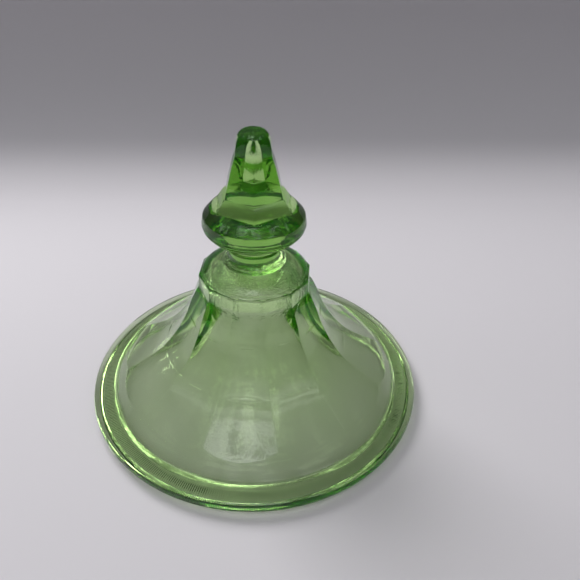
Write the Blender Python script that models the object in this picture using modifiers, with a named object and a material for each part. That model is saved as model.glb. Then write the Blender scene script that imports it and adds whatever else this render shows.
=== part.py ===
"""Lid of a pressed green glass candy dish.

One pressing of glass: a six-sided spire with a rounded tip on a stepped
six-sided base, a round knop, a short neck, a low dome with a twelve-sided
shoulder, a flared skirt of twelve panels, a rounded foot, a flat rim ledge
and, under the ledge, the locating ring that the lid rests on.  The inside
is one smooth turned hollow, open at the bottom.

Units are metres.  +Z is up, the axis of the lid is the Z axis and the flat
face of the locating ring lies on z = 0.  -Y is the front.
"""
import math

import bmesh
import bpy
from mathutils import Matrix

# ----------------------------------------------------------------------------
# Sizes (metres)
# ----------------------------------------------------------------------------
MM = 0.001

RIM_RADIUS = 76.0 * MM          # outside of the rim: a 152 mm (6 in) lid
TOTAL_HEIGHT = 127.5 * MM       # locating ring to the tip of the spire

PANELS = 12                     # panels round the skirt
PANEL_TURN = math.radians(8.0)  # a ridge stands 8 degrees right of the front
SPIRE_SIDES = 6                 # sides of the spire
SPIRE_TURN = math.radians(30.0) # one edge of the spire faces the front
ROUND = 72                      # steps round the rim, foot and hollow
ROUND_SMALL = 48                # steps round the dome, neck, knop and tip

# ridge line of the panelled skirt and shoulder, top to bottom (radius, height)
SKIRT_RIDGE = [(24.1, 64.7), (24.2, 60.5), (24.4, 58.6), (25.4, 57.0),
               (26.9, 54.0), (28.4, 50.5), (30.4, 45.2), (32.6, 40.6),
               (35.5, 35.6), (39.2, 30.7), (42.6, 27.1), (47.0, 23.5),
               (51.8, 20.4), (57.2, 17.2), (62.5, 14.2), (67.6, 11.6),
               (67.6, 3.2)]

# turned cap that ends every panel in a rounded tongue above the rim
FOOT_CAP = [(30.0, 66.0), (33.0, 48.0), (40.0, 35.5), (50.0, 24.6),
            (57.4, 17.9), (60.2, 14.9), (62.4, 12.4), (64.6, 9.9),
            (66.9, 7.4), (66.7, 2.4)]

# rim ledge, outer edge, underside and locating ring, top to bottom
RIM = [(58.0, 9.4), (66.2, 8.2), (70.5, 7.3), (74.3, 6.4), (75.3, 6.0),
       (75.8, 5.4), (76.0, 4.6), (76.0, 3.0), (75.8, 2.3), (75.3, 1.8),
       (74.5, 1.6), (73.0, 1.6), (72.6, 1.35), (72.3, 0.9), (71.9, 0.45),
       (71.3, 0.1), (70.9, 0.0)]

# low dome, neck and knop, top to bottom
KNOP = [(0.0, 96.6), (14.0, 96.2), (15.5, 95.95), (17.0, 95.5), (18.1, 94.8),
        (20.2, 92.5), (20.75, 91.8), (20.92, 91.0), (21.34, 88.5),
        (21.26, 87.85), (20.75, 87.3), (20.9, 86.7), (20.4, 85.65),
        (18.5, 83.7), (15.6, 81.75), (12.6, 80.2), (11.0, 78.4),
        (10.5, 76.0), (10.6, 74.0), (11.2, 72.2), (12.7, 71.0),
        (13.2, 70.3), (16.2, 69.4), (19.4, 67.9), (22.0, 66.1),
        (23.1, 64.4), (23.15, 61.0)]

# six-sided spire and its flared base: edge line, top to bottom
SPIRE = [(6.6, 128.9), (7.7, 121.0), (7.95, 118.4), (8.4, 116.8),
         (9.25, 114.6), (10.75, 109.6), (12.0, 105.2), (12.95, 101.2),
         (13.2, 100.75), (14.1, 99.95), (14.8, 99.05), (15.5, 98.0),
         (16.2, 96.95), (16.9, 96.0), (16.9, 94.6)]

# rounded tip that the spire is trimmed to
TIP = [(0.0, 127.5), (1.82, 127.33), (3.0, 127.03), (4.14, 126.56),
       (5.2, 125.87), (6.08, 124.8), (6.7, 123.47), (7.2, 122.09),
       (7.6, 120.7), (8.1, 119.0), (9.2, 116.6), (10.2, 114.0),
       (11.6, 109.6), (13.2, 105.2), (15.0, 101.0), (19.6, 92.0)]

# smooth turned hollow, top to bottom, running out below the ring
HOLLOW = [(0.0, 65.6), (6.0, 65.3), (11.0, 64.4), (15.0, 62.7),
          (17.5, 60.4), (18.8, 57.6), (19.4, 55.0), (19.7, 52.4),
          (20.1, 49.0), (21.1, 44.3), (23.1, 39.2), (26.7, 33.2),
          (31.7, 27.5), (37.5, 22.8), (43.8, 18.8), (49.4, 15.6),
          (55.0, 12.4), (59.8, 9.2), (63.0, 6.2), (64.8, 3.3),
          (65.8, 1.0), (66.4, 0.0), (66.6, -0.6)]

GREEN = (0.33, 0.62, 0.22, 1.0)  # clear spring-green glass


# ----------------------------------------------------------------------------
# Tools
# ----------------------------------------------------------------------------
def clear_scene():
    for obj in list(bpy.data.objects):
        bpy.data.objects.remove(obj, do_unlink=True)


def new_collection(name):
    coll = bpy.data.collections.new(name)
    bpy.context.scene.collection.children.link(coll)
    return coll


def glass_material():
    mat = bpy.data.materials.new("green_pressed_glass")
    mat.use_nodes = True
    shader = mat.node_tree.nodes["Principled BSDF"]
    shader.inputs["Base Color"].default_value = GREEN
    shader.inputs["Roughness"].default_value = 0.04
    shader.inputs["Metallic"].default_value = 0.0
    shader.inputs["IOR"].default_value = 1.52
    shader.inputs["Transmission Weight"].default_value = 0.9
    mat.diffuse_color = GREEN
    return mat


def turned(name, profile, steps, collection, turn=0.0, close_top=True,
           close_bottom=True):
    """Closed solid of revolution from a (radius, height) line in mm."""
    line = [(r * MM, z * MM) for r, z in profile]
    if close_top and line[0][0] > 0.0:
        line.insert(0, (0.0, line[0][1]))
    if close_bottom and line[-1][0] > 0.0:
        line.append((0.0, line[-1][1]))
    mesh = bpy.data.meshes.new(name)
    verts = [(r, 0.0, z) for r, z in line]
    edges = [(i, i + 1) for i in range(len(verts) - 1)]
    mesh.from_pydata(verts, edges, [])
    obj = bpy.data.objects.new(name, mesh)
    collection.objects.link(obj)
    screw = obj.modifiers.new("Turn", 'SCREW')
    screw.axis = 'Z'
    screw.angle = 2.0 * math.pi
    screw.steps = steps
    screw.render_steps = steps
    screw.use_merge_vertices = True
    screw.merge_threshold = 0.00005
    screw.use_normal_calculate = False
    obj.rotation_euler = (0.0, 0.0, turn)
    return obj


def cut_with(target, tool, operation, name):
    """Boolean with an exact solver; the tool stays as a hidden cutter."""
    mod = target.modifiers.new(name, 'BOOLEAN')
    mod.operation = operation
    mod.solver = 'EXACT'
    mod.object = tool
    tool.hide_render = True
    tool.display_type = 'WIRE'


def bake(obj):
    """Replace an object's mesh by its evaluated mesh, with clean normals."""
    bpy.context.view_layer.update()
    deps = bpy.context.evaluated_depsgraph_get()
    mesh = bpy.data.meshes.new_from_object(obj.evaluated_get(deps))
    mesh.transform(obj.matrix_world)
    obj.matrix_world = Matrix.Identity(4)
    obj.modifiers.clear()
    obj.data = mesh
    bm = bmesh.new()
    bm.from_mesh(mesh)
    bmesh.ops.remove_doubles(bm, verts=bm.verts, dist=0.00001)
    bmesh.ops.dissolve_degenerate(bm, edges=bm.edges, dist=0.00001)
    bmesh.ops.recalc_face_normals(bm, faces=bm.faces)
    bm.to_mesh(mesh)
    bm.free()


# ----------------------------------------------------------------------------
# Build
# ----------------------------------------------------------------------------
clear_scene()
lid_set = new_collection("candy_dish_lid")
cutters = new_collection("cutters")

# twelve-sided skirt and shoulder: a turned line with twelve steps
lid = turned("lid", SKIRT_RIDGE, PANELS, lid_set, turn=PANEL_TURN)
bake(lid)

foot = turned("foot_cap", FOOT_CAP, ROUND, cutters)
bake(foot)
cut_with(lid, foot, 'INTERSECT', "Foot")

rim = turned("rim_and_ring", RIM, ROUND, cutters)
bake(rim)
cut_with(lid, rim, 'UNION', "Rim")

knop = turned("dome_neck_knop", KNOP, ROUND_SMALL, cutters)
bake(knop)
cut_with(lid, knop, 'UNION', "Knop")

# six-sided spire, trimmed by a turned tip
spire = turned("spire", SPIRE, SPIRE_SIDES, cutters, turn=SPIRE_TURN)
bake(spire)
tip = turned("spire_tip", TIP, ROUND_SMALL, cutters)
bake(tip)
cut_with(spire, tip, 'INTERSECT', "Tip")
bake(spire)
cut_with(lid, spire, 'UNION', "Spire")

hollow = turned("hollow", HOLLOW, ROUND, cutters)
bake(hollow)
cut_with(lid, hollow, 'DIFFERENCE', "Hollow")

bake(lid)
lid.data.materials.clear()
lid.data.materials.append(glass_material())
for poly in lid.data.polygons:
    poly.material_index = 0
    poly.use_smooth = True
lid.data.set_sharp_from_angle(angle=math.radians(13.0))

for obj in cutters.objects:
    obj.hide_render = True
    obj.hide_viewport = False
    obj.display_type = 'WIRE'
    obj.hide_set(True)
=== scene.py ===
"""Looks of the green pressed-glass candy dish lid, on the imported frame.

The glass is one closed body made in mesh code: every ring of the outside,
the rim, the locating ring and the hollow is laid out by functions, so the
twelve panels, the six-sided spire, the arched panel tops and the rounded
panel feet meet on real edges.  Metres, +Z up, -Y is the front.
"""
import math

import bpy
from mathutils import Matrix, Vector, noise


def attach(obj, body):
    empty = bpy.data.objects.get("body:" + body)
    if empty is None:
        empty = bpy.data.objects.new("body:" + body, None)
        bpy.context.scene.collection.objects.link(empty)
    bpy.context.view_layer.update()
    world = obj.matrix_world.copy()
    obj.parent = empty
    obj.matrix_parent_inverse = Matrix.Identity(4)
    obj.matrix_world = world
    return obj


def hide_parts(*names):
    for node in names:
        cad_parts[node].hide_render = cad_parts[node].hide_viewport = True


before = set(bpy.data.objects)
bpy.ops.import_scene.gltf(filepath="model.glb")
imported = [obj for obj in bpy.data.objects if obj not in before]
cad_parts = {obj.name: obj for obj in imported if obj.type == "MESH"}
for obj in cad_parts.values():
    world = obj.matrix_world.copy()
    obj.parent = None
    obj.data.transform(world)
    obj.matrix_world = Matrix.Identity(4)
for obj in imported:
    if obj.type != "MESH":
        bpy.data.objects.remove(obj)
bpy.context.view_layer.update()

MM = 0.001

# ----------------------------------------------------------------------------
# The lid's lines, in millimetres: the same sizes as the solid model
# ----------------------------------------------------------------------------
PANELS = 12
PITCH = 360.0 / PANELS
RIDGE_AT = 8.0                 # a ridge stands 8 degrees right of the front
HEX_AT = 0.0                   # one edge of the spire faces the front

# points round the axis: one a degree, closer on the ridges of the panels
AZIMUTHS = sorted([float(a) for a in range(360)] +
                  [(RIDGE_AT + PITCH * k + d) % 360.0 for k in range(PANELS)
                   for d in (-0.7, -0.35, 0.35, 0.7)])
REEDS = 480                    # fine ribs under the rim
FINE = [360.0 * k / (3 * REEDS) for k in range(3 * REEDS)]

RIDGE = [(24.1, 64.7), (24.2, 60.5), (24.4, 58.6), (25.4, 57.0),
         (26.9, 54.0), (28.4, 50.5), (30.4, 45.2), (32.6, 40.6),
         (35.5, 35.6), (39.2, 30.7), (42.6, 27.1), (47.0, 23.5),
         (51.8, 20.4), (57.2, 17.2), (62.5, 14.2), (67.6, 11.6)]

FOOT = [(54.0, 21.2), (57.4, 17.9), (60.2, 14.9), (62.4, 12.4),
        (64.6, 9.9), (66.2, 8.2)]

KNOP_TOP = [(14.0, 96.2), (15.5, 95.95), (17.0, 95.5), (18.3, 94.65),
            (19.4, 93.4)]

HOLLOW = [(66.4, 0.0), (65.8, 1.0), (64.8, 3.3), (63.0, 6.2), (59.8, 9.2),
          (55.0, 12.4), (49.4, 15.6), (43.8, 18.8), (37.5, 22.8),
          (31.7, 27.5), (26.7, 33.2), (23.1, 39.2), (21.1, 44.3),
          (20.1, 49.0), (19.7, 52.4), (19.4, 55.0), (18.8, 57.6),
          (17.5, 60.4), (15.0, 62.7), (11.0, 64.4), (6.0, 65.3),
          (0.0, 65.6)]


class Curve:
    """A smooth line through points, by distance along it (Catmull-Rom)."""

    def __init__(self, pts):
        self.p = [Vector((a, b)) for a, b in pts]
        self.d = [0.0]
        for a, b in zip(self.p, self.p[1:]):
            self.d.append(self.d[-1] + (b - a).length)
        self.length = self.d[-1]

    def at(self, s):
        p, d = self.p, self.d
        s = min(max(s, 0.0), self.length)
        i = 0
        while i < len(d) - 2 and s > d[i + 1]:
            i += 1
        h = d[i + 1] - d[i]
        t = (s - d[i]) / h

        def slope(j):
            if j == 0:
                return (p[1] - p[0]) / (d[1] - d[0])
            if j == len(p) - 1:
                return (p[-1] - p[-2]) / (d[-1] - d[-2])
            a = (p[j] - p[j - 1]) / (d[j] - d[j - 1])
            b = (p[j + 1] - p[j]) / (d[j + 1] - d[j])
            w = (d[j] - d[j - 1]) / (d[j + 1] - d[j - 1])
            return a * (1.0 - w) + b * w

        t2, t3 = t * t, t * t * t
        return (p[i] * (2 * t3 - 3 * t2 + 1) + slope(i) * h * (t3 - 2 * t2 + t)
                + p[i + 1] * (3 * t2 - 2 * t3) + slope(i + 1) * h * (t3 - t2))

    def height_at(self, r):
        """Height of a line whose radius grows all the way."""
        lo, hi = 0.0, self.length
        for _ in range(40):
            mid = 0.5 * (lo + hi)
            if self.at(mid).x < r:
                lo = mid
            else:
                hi = mid
        return self.at(lo).y

    def where_height(self, z):
        """Distance along a falling line where it reaches height z."""
        lo, hi = 0.0, self.length
        for _ in range(40):
            mid = 0.5 * (lo + hi)
            if self.at(mid).y > z:
                lo = mid
            else:
                hi = mid
        return lo


ridge, foot, hollow = Curve(RIDGE), Curve(FOOT), Curve(HOLLOW)
knop_top = Curve(KNOP_TOP)


def smooth(a, b, x):
    t = min(max((x - a) / (b - a), 0.0), 1.0)
    return t * t * (3.0 - 2.0 * t)


def panel_place(az):
    """-1 and 1 on the ridges of a panel, 0 on its middle."""
    t = (az - RIDGE_AT) / PITCH
    return 2.0 * (t - math.floor(t)) - 1.0


def polygon(az, sides, at, ease=0.0):
    """Radius of a regular polygon whose corners are at radius 1, each
    corner rounded over 'ease' degrees to either side."""
    pitch = 360.0 / sides
    t = ((az - at) / pitch) % 1.0
    r = math.cos(math.radians(pitch / 2)) / math.cos(
        math.radians((t - 0.5) * pitch))
    off = min(t, 1.0 - t) * pitch
    if off < ease:
        r -= 0.5 * math.tan(math.radians(pitch / 2)) * math.radians(
            ease) * (1.0 - off / ease) ** 2
    return r


def unevenness(az, r, z, size, scale, seed):
    """Slow waviness of a pressed surface, in millimetres."""
    a = math.radians(az)
    v = Vector((r * math.sin(a), -r * math.cos(a), z)) / scale
    return size * noise.noise(v + Vector((seed, seed * 1.7, -seed)))


# ----------------------------------------------------------------------------
# Rings of the glass, from the tip down the outside and up the inside.
# A ring is a function: azimuth in degrees -> (radius, height) in mm.
# ----------------------------------------------------------------------------
rings = []


def turned(points, step=1.0, wave=0.0, scale=14.0, seed=1.0):
    """Rings of a turned surface along a line of (radius, height)."""
    line = Curve(points)
    n = max(1, int(math.ceil(line.length / step)))
    for k in range(n + 1):
        p = line.at(line.length * k / n)
        if wave:
            rings.append(lambda az, p=p: (
                p.x + unevenness(az, p.x, p.y, wave, scale, seed), p.y))
        else:
            rings.append(lambda az, p=p: (p.x, p.y))


def spire_ring(r, z, roundness):
    def ring(az):
        h = polygon(az, 6, HEX_AT)
        return (r * (h * (1.0 - roundness) + roundness * 0.866), z)
    return ring


# rounded tip, blending from a circle into the six-sided spire
tip = Curve([(0.0, 127.5), (2.3, 127.3), (4.3, 126.75), (5.9, 125.95),
             (6.85, 124.9), (7.35, 123.5), (7.65, 121.7), (7.8, 120.0)])
for k in range(1, 19):
    p = tip.at(tip.length * k / 18)
    rings.append(spire_ring(p.x, p.y, 1.0 - smooth(0.45, 1.0, k / 18)))
side = Curve([(7.8, 120.0), (7.95, 118.4), (8.4, 116.8), (9.25, 114.6),
              (10.75, 109.6), (12.0, 105.2), (12.95, 101.2)])
for k in range(1, 25):
    p = side.at(side.length * k / 24)
    rings.append(spire_ring(p.x, p.y, 0.0))
# stepped six-sided base
flare = Curve([(12.95, 101.05), (13.2, 100.75), (13.6, 100.45), (14.1, 99.95),
               (14.8, 99.05), (15.5, 98.0), (16.2, 96.95), (16.9, 96.0)])
for k in range(19):
    p = flare.at(flare.length * k / 18)
    rings.append(spire_ring(p.x, p.y, 0.0))


def on_knop_top(blend):
    def ring(az):
        r = 17.0 * polygon(az, 6, HEX_AT) * (1.0 - blend) + 17.9 * blend
        return (r, knop_top.height_at(r))
    return ring


for blend in (0.0, 0.12, 0.35, 0.65, 1.0):
    rings.append(on_knop_top(blend))

# knop, neck and low dome
turned([(18.1, 94.8), (19.2, 93.6), (20.2, 92.5)], 0.5)
turned([(20.5, 92.15), (20.72, 91.8), (20.86, 91.35)], 0.25)
turned([(20.92, 91.0), (21.15, 89.7), (21.34, 88.5)], 0.6)
turned([(21.36, 88.15), (21.26, 87.85), (21.0, 87.62)], 0.2)
turned([(20.78, 87.45), (20.72, 87.25), (20.86, 87.0), (20.9, 86.7),
        (20.75, 86.2), (20.4, 85.65)], 0.25)
turned([(20.1, 85.3), (18.5, 83.7), (15.6, 81.75), (12.6, 80.2),
        (11.0, 78.4), (10.5, 76.0), (10.6, 74.0), (11.0, 72.6),
        (11.7, 71.7)], 0.6)
turned([(12.3, 71.4), (12.7, 71.15), (12.95, 70.75), (13.3, 70.35)], 0.3)
turned([(13.8, 70.15), (16.2, 69.4), (19.4, 67.9), (21.6, 66.4),
        (22.9, 65.2)], 0.9, 0.05, 6.0, 3.0)

# twelve-sided shoulder and its wall down to the arched panel tops
ARCH_MID, ARCH_DROP = 58.0, 2.6


def arch_height(u):
    return ARCH_MID - ARCH_DROP * u * u


def body_radius(az, s):
    return ridge.at(s).x * polygon(az, PANELS, RIDGE_AT, 0.8)


def shoulder(frac, inset=0.0, drop=0.0):
    def ring(az):
        u = panel_place(az)
        top = 64.7 - drop
        z = top + (arch_height(u) - top) * frac
        return (body_radius(az, ridge.where_height(z)) - inset, z)
    return ring


for inset, drop in ((0.95, -0.04), (0.65, 0.0), (0.38, 0.10), (0.17, 0.28),
                    (0.05, 0.52), (0.0, 0.85)):
    rings.append(shoulder(0.0, inset, drop))
for k in range(1, 11):
    rings.append(shoulder(k / 10.0, 0.0, 0.85))

# panels: flat across with a shallow hollow, ending where they meet the foot
HOLLOW_TOP, HOLLOW_END = 0.55, 0.22
MARKS = ((45.0, 0.30), (27.3, 0.34))   # cross lines left by the mould


def panel_point(az, s):
    u = panel_place(az)
    p = ridge.at(s)
    t = s / ridge.length
    depth = HOLLOW_TOP + (HOLLOW_END - HOLLOW_TOP) * t
    r = p.x * polygon(az, PANELS, RIDGE_AT, 0.8) - depth * (1.0 - u * u)
    r += unevenness(az, p.x, p.y, 0.075, 8.0, 4.0)
    r += unevenness(az, p.x, p.y, 0.012, 2.6, 14.0)
    z = p.y
    for height, size in MARKS:
        off = (z - height) / 0.36
        if abs(off) < 3.0:
            r += size * math.exp(-off * off) * max(0.0, 1.0 - (u / 0.62) ** 2)
    return r, z


def panel_end(az):
    """Where a panel's surface drops through the turned foot."""
    lo, hi = ridge.where_height(24.0), ridge.length
    for _ in range(30):
        mid = 0.5 * (lo + hi)
        r, z = panel_point(az, mid)
        if z < foot.height_at(max(r, 54.01)):
            lo = mid
        else:
            hi = mid
    return lo


panel_spans = {az: (ridge.where_height(arch_height(panel_place(az))),
                    panel_end(az)) for az in AZIMUTHS}


# distances down the panel where the rings lie, denser across the marks
STOPS = [ridge.where_height(46.2), ridge.where_height(43.9),
         ridge.where_height(28.0), ridge.where_height(26.6)]
COUNTS = (26, 16, 40, 14, 50)


def panel_ring(part, frac):
    def ring(az):
        s0, s1 = panel_spans[az]
        ends = [s0 + 0.22] + STOPS + [s1]
        a, b = ends[part], ends[part + 1]
        return panel_point(az, a + (b - a) * frac)
    return ring


rings.append(panel_ring(0, 0.0))
for part, count in enumerate(COUNTS):
    for k in range(1, count + 1):
        rings.append(panel_ring(part, k / count))


# turned foot below the panels
def foot_ring(frac):
    def ring(az):
        r0, _ = panel_point(az, panel_spans[az][1])
        r = r0 + (66.2 - r0) * frac
        return (r, foot.height_at(r))
    return ring


for frac in (0.04, 0.15, 0.3, 0.45, 0.6, 0.75, 0.88, 0.97):
    rings.append(foot_ring(frac))

# rim ledge, rounded edge, underside, locating ring
turned([(66.45, 8.02), (68.2, 7.75), (70.5, 7.3), (72.6, 6.85),
        (74.2, 6.45)], 0.9, 0.05, 9.0, 5.0)
turned([(74.6, 6.33), (75.2, 6.05), (75.65, 5.6), (75.9, 5.0),
        (76.0, 4.2), (76.0, 3.1), (75.85, 2.45), (75.5, 1.95),
        (74.9, 1.65)], 0.35)
turned([(74.5, 1.6), (73.7, 1.62), (73.0, 1.6), (72.6, 1.35),
        (72.3, 0.9), (71.9, 0.45), (71.3, 0.12)], 0.35)


# the ribbed underside: groove and locating ring, cut by fine radial reeds
def reed(az):
    """0 on the crest of a reed, up to 1 in the valley beside it."""
    t = (az * REEDS / 360.0) % 1.0
    shape = (0.0, 1.0, 0.45)[int(t * 3.0 + 0.5) % 3]
    a = math.radians(az)
    v = Vector((math.sin(a), math.cos(a), 0.0))
    patch = 0.8 + 0.3 * noise.noise(v * 5.0) + 0.2 * noise.noise(v * 37.0)
    return shape * min(max(patch, 0.5), 1.0)


def reeded(r, z, depth_r, depth_z, shift=0.0):
    def ring(az):
        d = reed(az)
        return (r - depth_r * d, z + depth_z * d)
    ring.fine = True
    return ring


for r, z, dr, dz in ((71.1, 0.05, 0.0, 0.03), (70.8, 0.0, 0.0, 0.12),
                     (70.4, 0.0, 0.0, 0.15), (69.6, 0.0, 0.0, 0.17),
                     (68.8, 0.0, 0.0, 0.18), (68.0, 0.0, 0.0, 0.18),
                     (67.3, 0.0, 0.0, 0.15), (66.8, 0.05, 0.0, 0.08),
                     (66.5, 0.15, 0.0, 0.0)):
    rings.append(reeded(r, z, dr, 0.8 * dz))

# smooth hollow, rough at its crown where the plunger chilled the glass
line = Curve(HOLLOW)
count = 130
for k in range(count):
    p = line.at(0.3 + (line.length - 0.3) * k / count)

    def ring(az, p=p):
        crown = smooth(50.0, 58.0, p.y)
        bump = unevenness(az, p.x, p.y, 0.12, 9.0, 9.0)
        bump += crown * unevenness(az, p.x, p.y, 0.22, 1.7, 2.0)
        k = min(1.0, p.x / 4.0)
        return (p.x - bump * k, p.y + 0.6 * crown * bump)

    rings.append(ring)


def build_glass():
    """One closed mesh from the rings, closed by a point at each end."""
    verts = [(0.0, 0.0, 127.5 * MM)]
    laid = []                       # (azimuths, first vertex) of each ring
    for ring in rings:
        turns = FINE if getattr(ring, "fine", False) else AZIMUTHS
        laid.append((turns, len(verts)))
        for az in turns:
            r, z = ring(az)
            a = math.radians(az)
            verts.append((r * math.sin(a) * MM, -r * math.cos(a) * MM,
                          z * MM))
    verts.append((0.0, 0.0, 65.6 * MM))
    end = len(verts) - 1
    faces = []
    turns, first = laid[0]
    for i in range(len(turns)):
        faces.append((0, first + i, first + (i + 1) % len(turns)))
    for (ta, a), (tb, b) in zip(laid, laid[1:]):
        na, nb = len(ta), len(tb)
        if ta is tb:
            for i in range(na):
                j = (i + 1) % na
                faces.append((a + i, b + i, b + j, a + j))
            continue
        i = j = 0                   # walk both rings, always the nearer step
        while i < na or j < nb:
            next_a = ta[i + 1] if i + 1 < na else 360.0 + ta[0]
            next_b = tb[j + 1] if j + 1 < nb else 360.0 + tb[0]
            if j >= nb or (i < na and next_a <= next_b):
                faces.append((a + i, b + j % nb, a + (i + 1) % na))
                i += 1
            else:
                faces.append((a + i % na, b + j, b + (j + 1) % nb))
                j += 1
    turns, last = laid[-1]
    for i in range(len(turns)):
        faces.append((last + i, end, last + (i + 1) % len(turns)))
    mesh = bpy.data.meshes.new("lid_glass")
    mesh.from_pydata(verts, [], faces)
    mesh.update()
    obj = bpy.data.objects.new("lid_glass", mesh)
    bpy.context.scene.collection.objects.link(obj)
    for poly in mesh.polygons:
        poly.use_smooth = True
    mesh.set_sharp_from_angle(angle=math.radians(9.0))
    return obj


# ----------------------------------------------------------------------------
# Material: clear green glass that darkens with depth
# ----------------------------------------------------------------------------
def glass_material():
    mat = bpy.data.materials.new("green_pressed_glass")
    mat.use_nodes = True
    nt = mat.node_tree
    nodes, links = nt.nodes, nt.links
    shader = nodes["Principled BSDF"]
    out = nodes["Material Output"]
    shader.inputs["Base Color"].default_value = (1.0, 1.0, 1.0, 1.0)
    shader.inputs["Metallic"].default_value = 0.0
    shader.inputs["IOR"].default_value = 1.52
    shader.inputs["Transmission Weight"].default_value = 1.0

    absorb = nodes.new("ShaderNodeVolumeAbsorption")
    absorb.inputs["Color"].default_value = (0.41, 0.74, 0.0, 1.0)
    absorb.inputs["Density"].default_value = 68.0
    links.new(absorb.outputs["Volume"], out.inputs["Volume"])

    coord = nodes.new("ShaderNodeTexCoord")

    def noise_map(scale, detail, stretch=None):
        tex = nodes.new("ShaderNodeTexNoise")
        tex.inputs["Scale"].default_value = scale
        tex.inputs["Detail"].default_value = detail
        if stretch:
            pull = nodes.new("ShaderNodeMapping")
            pull.inputs["Scale"].default_value = stretch
            links.new(coord.outputs["Object"], pull.inputs["Vector"])
            links.new(pull.outputs["Vector"], tex.inputs["Vector"])
        else:
            links.new(coord.outputs["Object"], tex.inputs["Vector"])
        return tex.outputs["Fac"]

    def ramp(value, low, high, to_low, to_high):
        node = nodes.new("ShaderNodeMapRange")
        node.interpolation_type = 'SMOOTHSTEP'
        node.inputs["From Min"].default_value = low
        node.inputs["From Max"].default_value = high
        node.inputs["To Min"].default_value = to_low
        node.inputs["To Max"].default_value = to_high
        links.new(value, node.inputs["Value"])
        return node.outputs["Result"]

    def calc(operation, a, b):
        node = nodes.new("ShaderNodeMath")
        node.operation = operation
        for k, v in enumerate((a, b)):
            if isinstance(v, float):
                node.inputs[k].default_value = v
            else:
                links.new(v, node.inputs[k])
        return node.outputs["Value"]

    # where on the glass: height, and distance from the middle line
    apart = nodes.new("ShaderNodeSeparateXYZ")
    links.new(coord.outputs["Object"], apart.inputs["Vector"])
    height = apart.outputs["Z"]
    reach = calc('SQRT', calc('ADD', calc('MULTIPLY', apart.outputs["X"],
                                          apart.outputs["X"]),
                              calc('MULTIPLY', apart.outputs["Y"],
                                   apart.outputs["Y"])), 0.0)
    crown = calc('MULTIPLY', ramp(height, 0.050, 0.057, 0.0, 1.0),
                 calc('MULTIPLY', ramp(height, 0.0662, 0.0665, 1.0, 0.0),
                      ramp(reach, 0.0215, 0.0225, 1.0, 0.0)))

    # slow ripples of a pressed surface, fine lines drawn down the panels,
    # and the frosted crown of the hollow
    ripple = nodes.new("ShaderNodeBump")
    ripple.inputs["Strength"].default_value = 0.16
    ripple.inputs["Distance"].default_value = 0.0006
    links.new(noise_map(95.0, 3.0), ripple.inputs["Height"])
    drawn = nodes.new("ShaderNodeBump")
    drawn.inputs["Strength"].default_value = 0.10
    drawn.inputs["Distance"].default_value = 0.0002
    links.new(noise_map(1.0, 2.0, (900.0, 900.0, 60.0)),
              drawn.inputs["Height"])
    links.new(ripple.outputs["Normal"], drawn.inputs["Normal"])
    frost = nodes.new("ShaderNodeBump")
    frost.inputs["Strength"].default_value = 0.5
    frost.inputs["Distance"].default_value = 0.0005
    links.new(calc('MULTIPLY', crown, noise_map(1300.0, 3.0)),
              frost.inputs["Height"])
    links.new(drawn.outputs["Normal"], frost.inputs["Normal"])
    links.new(frost.outputs["Normal"], shader.inputs["Normal"])

    # faint haze where handling has dulled the polish, frosted crown
    haze = ramp(noise_map(38.0, 4.0), 0.40, 0.78, 0.0, 0.05)
    links.new(calc('ADD', haze, calc('MULTIPLY', crown, 0.03)),
              shader.inputs["Roughness"])
    return mat


glass = build_glass()
glass.data.materials.append(glass_material())
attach(glass, "root")
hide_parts("lid")


# ----------------------------------------------------------------------------
# Stage: pale floor curving up into a backdrop
# ----------------------------------------------------------------------------
def plain(name, colour, rough=0.6):
    mat = bpy.data.materials.new(name)
    mat.use_nodes = True
    s = mat.node_tree.nodes["Principled BSDF"]
    s.inputs["Base Color"].default_value = (*colour, 1.0)
    s.inputs["Roughness"].default_value = rough
    s.inputs["Specular IOR Level"].default_value = 0.2
    return mat


def sweep(name, width, front, back, bend, height, steps=24):
    line = [(front, 0.0)]
    for k in range(steps + 1):
        a = math.radians(90.0 * k / steps)
        line.append((back + bend * math.sin(a), bend * (1.0 - math.cos(a))))
    line.append((back + bend, height))
    verts, faces = [], []
    for y, z in line:
        verts += [(-width / 2, y, z), (width / 2, y, z)]
    for k in range(len(line) - 1):
        faces.append((2 * k, 2 * k + 1, 2 * k + 3, 2 * k + 2))
    mesh = bpy.data.meshes.new(name)
    mesh.from_pydata(verts, [], faces)
    for poly in mesh.polygons:
        poly.use_smooth = True
    obj = bpy.data.objects.new(name, mesh)
    bpy.context.scene.collection.objects.link(obj)
    return obj


floor = sweep("paper_sweep", 3.0, -1.2, 0.185, 0.11, 0.15)
paper = plain("pale_paper", (0.66, 0.635, 0.665))
pn, pl = paper.node_tree.nodes, paper.node_tree.links
where = pn.new("ShaderNodeTexCoord")
split = pn.new("ShaderNodeSeparateXYZ")
pl.new(where.outputs["Object"], split.inputs["Vector"])
# painted shade: the paper's colour is mixed from the pale floor tone to a
# darker grey as it rises from 0 to 24 mm into the backdrop, standing in for
# the dimmer light on the wall
rise = pn.new("ShaderNodeMapRange")
rise.interpolation_type = 'SMOOTHSTEP'
rise.inputs["From Min"].default_value = 0.0
rise.inputs["From Max"].default_value = 0.024
pl.new(split.outputs["Z"], rise.inputs["Value"])
shade = pn.new("ShaderNodeMix")
shade.data_type = 'RGBA'
shade.inputs[6].default_value = (0.66, 0.635, 0.665, 1.0)
shade.inputs[7].default_value = (0.445, 0.43, 0.455, 1.0)
pl.new(rise.outputs["Result"], shade.inputs["Factor"])
pl.new(shade.outputs[2], pn["Principled BSDF"].inputs["Base Color"])
floor.data.materials.append(paper)
floor.location.z = -0.00015


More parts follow.
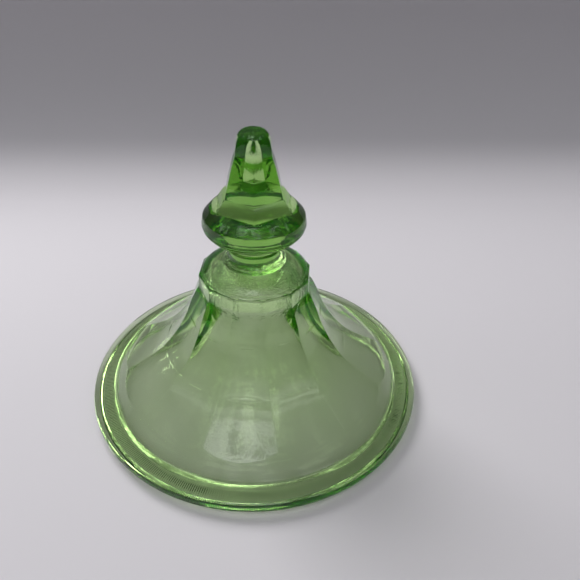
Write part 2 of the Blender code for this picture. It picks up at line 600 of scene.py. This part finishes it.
# ----------------------------------------------------------------------------
# Light and camera
# ----------------------------------------------------------------------------
def area(name, loc, aim, size, power, colour=(1, 1, 1), size_y=None):
    data = bpy.data.lights.new(name, 'AREA')
    data.shape = 'RECTANGLE'
    data.size = size
    data.size_y = size_y or size
    data.energy = power
    data.color = colour
    obj = bpy.data.objects.new(name, data)
    obj.location = loc
    direction = Vector(aim) - Vector(loc)
    obj.rotation_euler = direction.to_track_quat('-Z', 'Y').to_euler()
    bpy.context.scene.collection.objects.link(obj)
    return obj


key = area("key", (-0.50, 0.68, 0.80), (0.0, 0.0, 0.03), 0.6, 10.9)
key.visible_glossy = False

world = bpy.data.worlds.new("soft_room")
world.use_nodes = True
wn, wl = world.node_tree.nodes, world.node_tree.links
wc = wn.new("ShaderNodeTexCoord")
sep = wn.new("ShaderNodeSeparateXYZ")
wl.new(wc.outputs["Generated"], sep.inputs["Vector"])
high = wn.new("ShaderNodeMapRange")
high.interpolation_type = 'SMOOTHSTEP'
high.inputs["From Min"].default_value = 0.05
high.inputs["From Max"].default_value = 0.95
high.inputs["To Min"].default_value = 0.06
high.inputs["To Max"].default_value = 0.27
wl.new(sep.outputs["Z"], high.inputs["Value"])
wb = wn["Background"]
wb.inputs["Color"].default_value = (0.97, 0.98, 1.0, 1.0)
side = wn.new("ShaderNodeMapRange")
side.inputs["From Min"].default_value = -1.0
side.inputs["From Max"].default_value = 1.0
side.inputs["To Min"].default_value = 1.2
side.inputs["To Max"].default_value = 0.7
wl.new(sep.outputs["X"], side.inputs["Value"])
both = wn.new("ShaderNodeMath")
both.operation = 'MULTIPLY'
wl.new(high.outputs["Result"], both.inputs[0])
wl.new(side.outputs["Result"], both.inputs[1])
aim = wn.new("ShaderNodeVectorMath")
aim.operation = 'DOT_PRODUCT'
aim.inputs[1].default_value = Vector((-0.12, -0.92, 0.37)).normalized()
wl.new(wc.outputs["Generated"], aim.inputs[0])
window = wn.new("ShaderNodeMapRange")
window.interpolation_type = 'SMOOTHSTEP'
window.inputs["From Min"].default_value = 0.86
window.inputs["From Max"].default_value = 0.985
window.inputs["To Min"].default_value = 0.0
window.inputs["To Max"].default_value = 0.6
wl.new(aim.outputs["Value"], window.inputs["Value"])
drift = wn.new("ShaderNodeTexNoise")
drift.inputs["Scale"].default_value = 6.0
drift.inputs["Detail"].default_value = 3.0
wl.new(wc.outputs["Generated"], drift.inputs["Vector"])
veil = wn.new("ShaderNodeMapRange")
veil.interpolation_type = 'SMOOTHSTEP'
veil.inputs["From Min"].default_value = 0.35
veil.inputs["From Max"].default_value = 0.68
veil.inputs["To Min"].default_value = 0.1
veil.inputs["To Max"].default_value = 1.4
wl.new(drift.outputs["Fac"], veil.inputs["Value"])
pane = wn.new("ShaderNodeMath")
pane.operation = 'MULTIPLY'
wl.new(window.outputs["Result"], pane.inputs[0])
wl.new(veil.outputs["Result"], pane.inputs[1])
total = wn.new("ShaderNodeMath")
total.operation = 'ADD'
wl.new(both.outputs["Value"], total.inputs[0])
wl.new(pane.outputs["Value"], total.inputs[1])
up = wn.new("ShaderNodeVectorMath")
up.operation = 'DOT_PRODUCT'
up.inputs[1].default_value = Vector((-0.07, -0.29, 0.95)).normalized()
wl.new(wc.outputs["Generated"], up.inputs[0])
lobe = wn.new("ShaderNodeMapRange")
lobe.interpolation_type = 'SMOOTHSTEP'
lobe.inputs["From Min"].default_value = 0.976
lobe.inputs["From Max"].default_value = 0.995
wl.new(up.outputs["Value"], lobe.inputs["Value"])
puff = wn.new("ShaderNodeTexNoise")
puff.inputs["Scale"].default_value = 15.0
puff.inputs["Detail"].default_value = 4.0
wl.new(wc.outputs["Generated"], puff.inputs["Vector"])
cloud = wn.new("ShaderNodeMapRange")
cloud.interpolation_type = 'SMOOTHSTEP'
cloud.inputs["From Min"].default_value = 0.42
cloud.inputs["From Max"].default_value = 0.58
cloud.inputs["To Min"].default_value = 0.5
cloud.inputs["To Max"].default_value = 3.6
wl.new(puff.outputs["Fac"], cloud.inputs["Value"])
patch = wn.new("ShaderNodeMath")
patch.operation = 'MULTIPLY'
wl.new(lobe.outputs["Result"], patch.inputs[0])
wl.new(cloud.outputs["Result"], patch.inputs[1])
room = wn.new("ShaderNodeMath")
room.operation = 'ADD'
wl.new(total.outputs["Value"], room.inputs[0])
wl.new(patch.outputs["Value"], room.inputs[1])
# broad soft clouds of light high in the front half of the room
field = wn.new("ShaderNodeTexNoise")
field.inputs["Scale"].default_value = 4.5
field.inputs["Detail"].default_value = 4.0
wl.new(wc.outputs["Generated"], field.inputs["Vector"])
billow = wn.new("ShaderNodeMapRange")
billow.interpolation_type = 'SMOOTHSTEP'
billow.inputs["From Min"].default_value = 0.50
billow.inputs["From Max"].default_value = 0.66
billow.inputs["To Min"].default_value = 0.0
billow.inputs["To Max"].default_value = 1.95
wl.new(field.outputs["Fac"], billow.inputs["Value"])
above = wn.new("ShaderNodeMapRange")
above.interpolation_type = 'SMOOTHSTEP'
above.inputs["From Min"].default_value = 0.44
above.inputs["From Max"].default_value = 0.62
wl.new(sep.outputs["Z"], above.inputs["Value"])
front = wn.new("ShaderNodeMapRange")
front.interpolation_type = 'SMOOTHSTEP'
front.inputs["From Min"].default_value = 0.25
front.inputs["From Max"].default_value = -0.15
wl.new(sep.outputs["Y"], front.inputs["Value"])
half = wn.new("ShaderNodeMath")
half.operation = 'MULTIPLY'
wl.new(above.outputs["Result"], half.inputs[0])
wl.new(front.outputs["Result"], half.inputs[1])
soft = wn.new("ShaderNodeMath")
soft.operation = 'MULTIPLY'
wl.new(half.outputs["Value"], soft.inputs[0])
wl.new(billow.outputs["Result"], soft.inputs[1])
light = wn.new("ShaderNodeMath")
light.operation = 'ADD'
wl.new(room.outputs["Value"], light.inputs[0])
wl.new(soft.outputs["Value"], light.inputs[1])
wl.new(light.outputs["Value"], wb.inputs["Strength"])
bpy.context.scene.world = world
bpy.context.scene.view_settings.view_transform = 'Standard'
paths = bpy.context.scene.cycles
paths.max_bounces = 32
paths.glossy_bounces = 24
paths.transmission_bounces = 24

cam_data = bpy.data.cameras.new("camera")
cam_data.sensor_width = 36.0
cam_data.sensor_fit = 'HORIZONTAL'
cam_data.lens = 605.17 / 580.0 * 36.0
cam_data.clip_start = 0.01
cam = bpy.data.objects.new("camera", cam_data)
right = Vector((0.99826876, -0.05397294, 0.02337546))
up = Vector((0.01292095, 0.58895191, 0.80806479))
fwd = Vector((0.05738066, 0.80636379, -0.58862967))
rot = Matrix((right, up, -fwd)).transposed()
cam.matrix_world = Matrix.Translation((0.0, -0.21519569, 0.21043524)) @ \
    rot.to_4x4()
bpy.context.scene.collection.objects.link(cam)
bpy.context.scene.camera = cam
